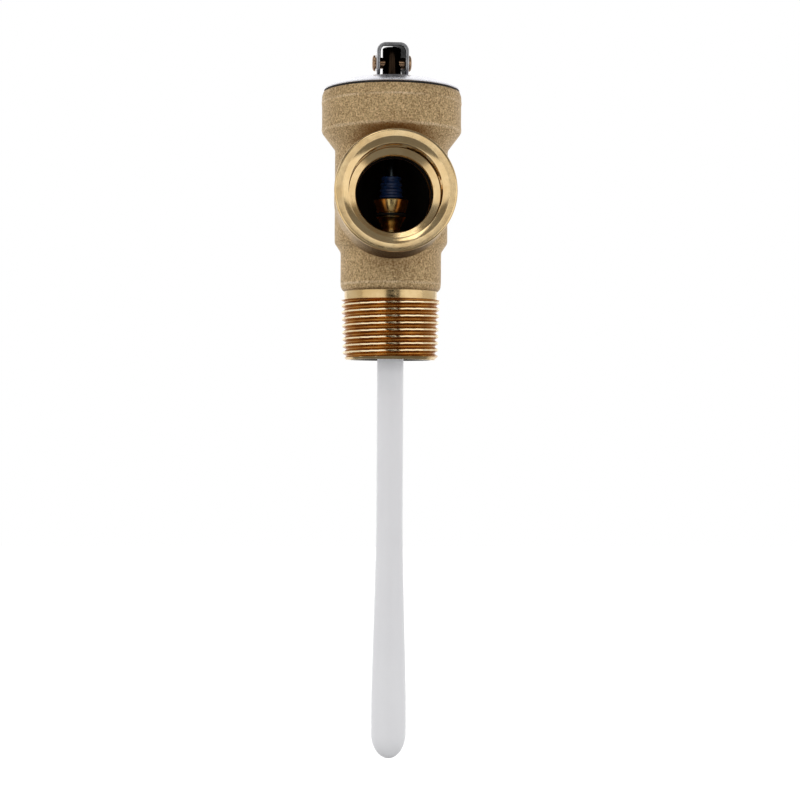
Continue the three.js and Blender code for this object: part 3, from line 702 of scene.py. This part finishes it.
def sleeve():
    """A tapering silicone sleeve with rounded ribs."""
    bottom, top, ribs = 43.5, 49.4, 4
    step = (top - bottom) / (ribs - 0.5)
    outline = [(2.05, bottom)]
    for rib in range(ribs):
        z = bottom + rib * step
        radius = 3.3 - 0.55 * rib / (ribs - 1)
        outline += [(radius, z, 0.22), (radius, z + step * 0.45, 0.22)]
        if rib < ribs - 1:
            outline += [(radius - 0.4, z + step * 0.55, 0.12), (radius - 0.45, z + step * 0.95, 0.12)]
    outline += [(2.05, bottom + (ribs - 0.55) * step), (2.05, bottom)]
    return turned("stem_sleeve_fine", rounded(outline), SMALL)


# ---------------------------------------------------------------- spring side

def spring_side():
    settle(turned("stem_bush_fine", rounded([
        (2.0, 54.0, 0.2), (3.3, 54.0, 0.2), (3.3, 57.1), (4.6, 57.1), (4.6, 57.7, 0.2),
        (2.0, 57.7, 0.1), (2.0, 54.0),
    ]), 64), "stem_bush", BUSH)
    settle(turned("cup_gasket_fine", rounded([
        (12.6, 61.3, 0.1), (16.0, 61.3, 0.1), (16.0, 61.8, 0.1), (12.6, 61.8, 0.1), (12.6, 61.3),
    ]), FINE), "cup_gasket", RUBBER)
    settle(turned("spring_cup_fine", rounded([
        (3.6, 55.8), (10.2, 55.8, 1.0), (11.2, 56.8, 0.9), (11.2, 62.1, 0.4), (16.0, 62.1, 0.1),
        (16.0, 63.1, 0.2), (10.2, 63.1, 0.5), (10.2, 56.8, 0.6), (3.6, 56.8), (3.6, 55.8),
    ]), FINE), "spring_cup", STEEL)
    settle(turned("spring_plate_fine", rounded([
        (2.1, 58.9), (7.6, 58.9, 0.2), (7.6, 60.1, 0.2), (4.2, 60.1, 0.2), (4.0, 61.4, 0.3),
        (2.1, 61.4, 0.1), (2.1, 58.9),
    ]), SMALL), "spring_plate", MACHINED)
    coil = wound_wire("main_spring_fine", 3.5, 61.4, 68.7, lambda t: 5.8 + 7.4 * t, 1.0, 0.3)
    settle(coil, "main_spring", SPRING, ("stem", "housing", (0, 0, 60.4 * MM), (0, 0, 69.7 * MM)))


# ---------------------------------------------------------------- cover, spindle, lever

def cover():
    settle(turned("cover_gasket_fine", rounded([
        (16.8, 71.9), (18.2, 71.9, 0.1), (18.2, 72.25, 0.1), (16.8, 72.25), (16.8, 71.9),
    ]), FINE), "cover_gasket", RUBBER)
    settle(turned("cover_disc_fine", rounded([
        (2.75, 74.7, 0.1), (7.5, 74.6), (11.4, 74.0), (15.2, 72.8), (15.2, 71.7), (15.9, 71.7, 0.2),
        (15.9, 72.32), (18.45, 72.32, 0.1), (18.65, 72.6, 0.2), (15.9, 73.9, 3), (11.6, 75.15, 3),
        (8.0, 75.65, 2),
        (7.4, 75.8, 0.4), (2.75, 75.8, 0.15), (2.75, 74.7),
    ]), 256), "cover_disc", COVER)


def pivot_bore(half):
    """A drill for the lever pin's hole, through the valve's axis."""
    return turned("bore", [(0, -half), (PIVOT_BORE_R, -half), (PIVOT_BORE_R, half), (0, half)], 64, along_x)


def spindle():
    rod = turned("lifting_spindle_fine", rounded([
        (1.45, 62.5, 0.1), (2.4, 62.5, 0.2), (2.4, 75.9), (2.5, 76.3), (2.5, 84.1, 0.35), (1.2, 84.35, 0.3),
        (0, 84.4), (0, 70.3), (1.45, 70.3), (1.45, 62.5),
    ]), 128)
    combine(rod, pivot_bore(4), "DIFFERENCE")
    shade(rod)
    # the spindle in near-black metal: painted shade
    settle(rod, "lifting_spindle", SPINDLE_SHADE)
    settle(turned("lever_pin_fine", rounded([
        (0, -5.35), (1.5, -5.3, 0.3), (2.15, -4.95, 0.3), (2.15, -4.45, 0.1), (1.5, -4.45), (1.5, 4.45),
        (2.15, 4.45, 0.1), (2.15, 4.95, 0.3), (1.5, 5.3, 0.3), (0, 5.35),
    ]), 96, along_x), "lever_pin", PIN_BRASS)


def channel_section(half, edge, bottom, top):
    """An upside-down U's outer outline as (x, depth), with rounded upper edges."""
    steps = 8
    points = [(-half, bottom), (half, bottom)]
    for step in range(steps + 1):
        angle = 0.5 * math.pi * step / steps
        points.append((half - edge + edge * math.cos(angle), top - edge + edge * math.sin(angle)))
    for step in range(steps + 1):
        angle = 0.5 * math.pi * (1 + step / steps)
        points.append((-half + edge + edge * math.cos(angle), top - edge + edge * math.sin(angle)))
    return points


def along_lever(x, depth, run):
    """From a point of the section and a run along the slope to a place in space."""
    y = LEVER_FRONT_Y + run * math.cos(LEVER_SLOPE) - depth * math.sin(LEVER_SLOPE)
    z = LEVER_FRONT_Z + run * math.sin(LEVER_SLOPE) + depth * math.cos(LEVER_SLOPE)
    return (x, y, z)


def lever_side():
    """The lever seen from the side as (y, z): the cam, then walls that fade into the arm."""
    rest, rise, sweep = 4.2, 2.5, math.radians(80)
    points = []
    for step in range(33):
        angle = sweep * (1 - step / 32)
        height = rest + rise * angle
        points.append((-height * math.sin(angle) - rise * math.cos(angle),
                       PIVOT_Z - height * math.cos(angle) + rise * math.sin(angle)))
    wall_end = 13

    def plate(y):
        return LEVER_FRONT_Z + (y - LEVER_FRONT_Y) * math.tan(LEVER_SLOPE)

    arm_start = wall_end + 2.5
    points += [(3.2, PIVOT_Z - rest), (4.6, PIVOT_Z - rest + 0.8), (wall_end, plate(wall_end) - 2.2)]
    points += [(arm_start, plate(arm_start) - 1.35), (40, plate(40) - 1.35), (40, plate(40) + 2)]
    return points + [(-12, plate(-12) + 2), (-12, PIVOT_Z + 1.2)]


def lever_plan():
    """The lever seen from above as (x, y): narrowing past the pin to a rounded thumb end."""
    half = 3.1
    round_y = LEVER_LENGTH * math.cos(LEVER_SLOPE) + LEVER_FRONT_Y - half
    thumb = [(half * math.cos(a), round_y + half * math.sin(a)) for a in np.linspace(0, math.pi, 25)[1:-1]]
    near_side = [(-5, -20), (5, -20), (5, 11), (half, 17), (half, round_y)]
    return near_side + thumb + [(-half, round_y), (-half, 17), (-5, 11)]


def lever():
    """A pressed channel over the pin that runs out into a flat arm."""
    depth = 22
    inner_half = LEVER_HALF - LEVER_SHEET

    def outer_place(u, v, w):
        return along_lever(u, v, w + (LEVER_LENGTH + 2) / 2)

    outer = channel_section(LEVER_HALF, 2.5, -depth, 0)
    inner = channel_section(inner_half, 1.65, -depth - 1, -LEVER_SHEET)
    blank = slab("lever_fine", outer, LEVER_LENGTH + 2, outer_place)
    combine(blank, slab("hollow", inner, LEVER_LENGTH + 8, outer_place), "DIFFERENCE")
    combine(blank, slab("side", lever_side(), 14, lambda u, v, w: (w, u, v)), "INTERSECT")
    combine(blank, slab("plan", lever_plan(), 40, lambda u, v, w: (u, v, w + 85)), "INTERSECT")
    combine(blank, pivot_bore(6), "DIFFERENCE")
    melted(blank, 0.16, 3)
    shade(blank, 60)
    paint_lever(blank, inner_half)
    for vertex in blank.data.vertices:
        back = min(max((vertex.co.y / MM + 1.0) / 12, 0), 1)
        vertex.co.x *= 1 - 0.25 * back * back * (3 - 2 * back)


def paint_lever(blank, inner_half):
    """Plating outside, painted shade inside the channel, and bare metal on the sheet's cut front edge."""
    settle(blank, "lever", LEVER)
    add_looks(blank, LEVER_SHADE, LEVER_EDGE)
    inside, cut_edge = 1, 2
    for face in blank.data.polygons:
        x, y = face.center.x / MM, face.center.y / MM
        under_plate = face.normal.z < -0.5 and abs(x) < inner_half
        faces_in = face.normal.x * x < 0 and abs(face.normal.x) > 0.5
        # painted shade on the plate's underside and the walls' inner faces
        if under_plate or (faces_in and abs(x) < LEVER_HALF - 0.5 * LEVER_SHEET):
            face.material_index = inside
        elif face.normal.y < -0.6 and y < 0:
            face.material_index = cut_edge


# ---------------------------------------------------------------- heat-sensing side

def probe():
    """The plastic probe with its rounded tip, and the thermostat inside it."""
    turns = np.linspace(0, math.pi / 2, 24)
    round_length = PROBE_ROUND_START - PROBE_TIP
    tip = [(PROBE_TIP_R * math.sin(a), PROBE_ROUND_START - round_length * math.cos(a)) for a in turns]
    tip[0] = (0, PROBE_TIP)
    settle(turned("probe_sheath_fine", tip + rounded([
        (PROBE_TIP_R, -98), (PROBE_TIP_R, -91.8, 8), (PROBE_THIN_R, -48.6, 8), (PROBE_THIN_R, 15.3),
        (5.2, 15.3), (5.2, 17.3, 0.3), (2.65, 17.3), (2.65, -101.5), (0, -101.5),
    ], 8), SMALL), "probe_sheath", PLASTIC)
    settle(turned("wax_tube_fine", rounded([
        (0, -101.2), (1.6, -101.2, 0.4), (2.35, -100.4, 0.4), (2.35, -8.0, 0.1), (1.85, -8.0, 0.1),
        (1.85, -100.2), (0, -100.2),
    ]), 48), "wax_tube", COPPER)
    settle(turned("rod_guide_fine", rounded([
        (1.3, 9.0), (2.35, 9.0, 0.2), (2.35, 17.6), (5.2, 17.6, 0.1), (5.2, 18.8, 0.3),
        (1.3, 18.8, 0.2), (1.3, 9.0),
    ]), 64), "rod_guide", MACHINED)
    settle(turned("push_rod_fine", rounded([
        (0, -9.1), (1.2, -9.1, 0.1), (1.2, -6.0), (0.9, -6.0), (0.9, -4.9), (1.2, -4.9), (1.2, 23.5, 0.2),
        (0.7, 24.0, 0.2), (0, 24.0),
    ]), 48), "push_rod", STEEL)
    coil = wound_wire("return_spring_fine", 7, -4.5, 8.4, lambda t: 1.9, 0.28, 0.9, 12, 40)
    settle(coil, "return_spring", SPRING, ("thermostat_rod", "housing", (0, 0, -4.8 * MM), (0, 0, 8.7 * MM)))


def keep_cad_nodes():
    """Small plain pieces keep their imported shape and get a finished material."""
    looks = {
        "stem_clip": SPRING, "carrier_ring": SPRING, "rod_clip": SPRING, "adjusting_ring": MACHINED,
        "thermostat_carrier": MACHINED, "swivel_pin": STEEL, "wax_charge": WAX, "wax_plug": RUBBER,
    }
    for node, material in looks.items():
        piece = frame["nodes"][node]
        piece.data.materials.clear()
        piece.data.materials.append(material)


# ---------------------------------------------------------------- camera and light

def aim(thing, target):
    direction = Vector(target) - thing.location
    thing.rotation_euler = direction.to_track_quat("-Z", "Y").to_euler()


def camera():
    """Level with the upper part of the probe and slightly to the left, with a long lens."""
    distance, height = 0.478, -0.0108
    azimuth, roll = math.radians(-2.7), math.radians(0.3)
    data = bpy.data.cameras.new("camera")
    data.sensor_width = 36
    data.lens = 79.65
    data.clip_start = 0.01
    data.shift_x = 0.0124
    eye = bpy.data.objects.new("camera", data)
    eye.location = (distance * math.sin(azimuth), -distance * math.cos(azimuth), height)
    look = Vector((0, 0, height)) - eye.location
    turn = look.to_track_quat("-Z", "Y").to_matrix() @ Matrix.Rotation(roll, 3, "Z")
    eye.rotation_euler = turn.to_euler()
    bpy.context.scene.collection.objects.link(eye)
    bpy.context.scene.camera = eye


def softbox(name, location, target, size, radiance):
    """An even area light, given by how bright its surface looks."""
    data = bpy.data.lights.new(name, "AREA")
    data.shape = "RECTANGLE"
    data.size, data.size_y = size
    data.energy = radiance * math.pi * size[0] * size[1]
    light = bpy.data.objects.new(name, data)
    light.location = location
    light.visible_camera = False
    aim(light, target)
    bpy.context.scene.collection.objects.link(light)


def card(name, centre, size, material, facing):
    """A flat studio card."""
    w, h = size[0] / 2, size[1] / 2
    mesh = bpy.data.meshes.new(name)
    mesh.from_pydata([(-w, -h, 0), (w, -h, 0), (w, h, 0), (-w, h, 0)], [], [(0, 1, 2, 3)])
    piece = bpy.data.objects.new(name, mesh)
    piece.location = centre
    aim(piece, facing)
    mesh.materials.append(material)
    bpy.context.scene.collection.objects.link(piece)
    return piece


def studio_surface(name, colour, glow=0.0):
    look = Look(name)
    grain = look.noise(30, 2)
    tone = look.blend(look.spread(grain, 0.3, 0.7), colour, tuple(c * 0.98 for c in colour))
    return look.finish(Base_Color=tone, Roughness=0.9, Specular_IOR_Level=0.0, Emission_Color=(1, 1, 1, 1),
                       Emission_Strength=glow)


def white_world():
    """Plain white behind the object, and a dimmer even light from all around it."""
    world = bpy.data.worlds.new("studio")
    world.use_nodes = True
    tree = world.node_tree
    background = tree.nodes["Background"]
    background.inputs["Color"].default_value = (1, 1, 1, 1)
    seen = tree.nodes.new("ShaderNodeLightPath").outputs["Is Camera Ray"]
    strength = tree.nodes.new("ShaderNodeMapRange")
    strength.inputs["To Min"].default_value = AMBIENT
    strength.inputs["To Max"].default_value = 1.0
    tree.links.new(seen, strength.inputs["Value"])
    tree.links.new(strength.outputs["Result"], background.inputs["Strength"])
    bpy.context.scene.world = world


def wall(name, near, far, low, high, radiance):
    """An upright softbox between two directions seen from the valve, in degrees right of the front."""
    angles = (math.radians(near), math.radians(far))
    ends = [Vector((LIGHT_DISTANCE * math.sin(a), -LIGHT_DISTANCE * math.cos(a), 0)) for a in angles]
    middle = (ends[0] + ends[1]) / 2
    middle.z = (low + high) / 2
    softbox(name, middle, (0, 0, middle.z), ((ends[0] - ends[1]).length, high - low), radiance)


def studio():
    """Softboxes all round, a floor that only the camera sees, and a dark card behind the camera."""
    white_world()
    wall("left_box", -14, -78, -0.34, 0.27, 0.88)
    wall("right_box", 20, 82, -0.34, 0.27, 0.95)
    wall("left_side", -80, -138, -0.5, 0.5, 0.6)
    wall("right_side", 84, 138, -0.5, 0.5, 0.6)
    wall("front_box", -8, 15, 0.070, 0.34, 0.78)
    wall("slit", 8.0, 9.8, -0.15, 0.066, 1.3)
    wall("low_box", -14, 20, -0.60, -0.22, 0.12)
    wall("back_wall", 140, 220, -0.5, 0.8, 1.0)
    softbox("top_box", (-0.20, -0.40, 0.66), (0, 0, 0), (0.28, 0.5), 1.9)
    pale = studio_surface("pale_floor", (0.88, 0.88, 0.88), 1.0)
    floor = card("floor", (0, 0, -0.30), (6, 6), pale, (0, 0, 1))
    floor.visible_diffuse = floor.visible_glossy = floor.visible_shadow = False
    black = studio_surface("black_card", (0.02, 0.02, 0.02))
    screen = card("camera_card", (0.03, -0.78, -0.06), (0.46, 0.27), black, (0.03, 0, -0.06))
    screen.visible_camera = False
    bpy.context.scene.view_settings.view_transform = "Standard"


camera()
studio()
casting()
inlet_thread()
outlet_ring()
seat_and_disc()
stem()
spring_side()
cover()
spindle()
lever()
probe()
keep_cad_nodes()
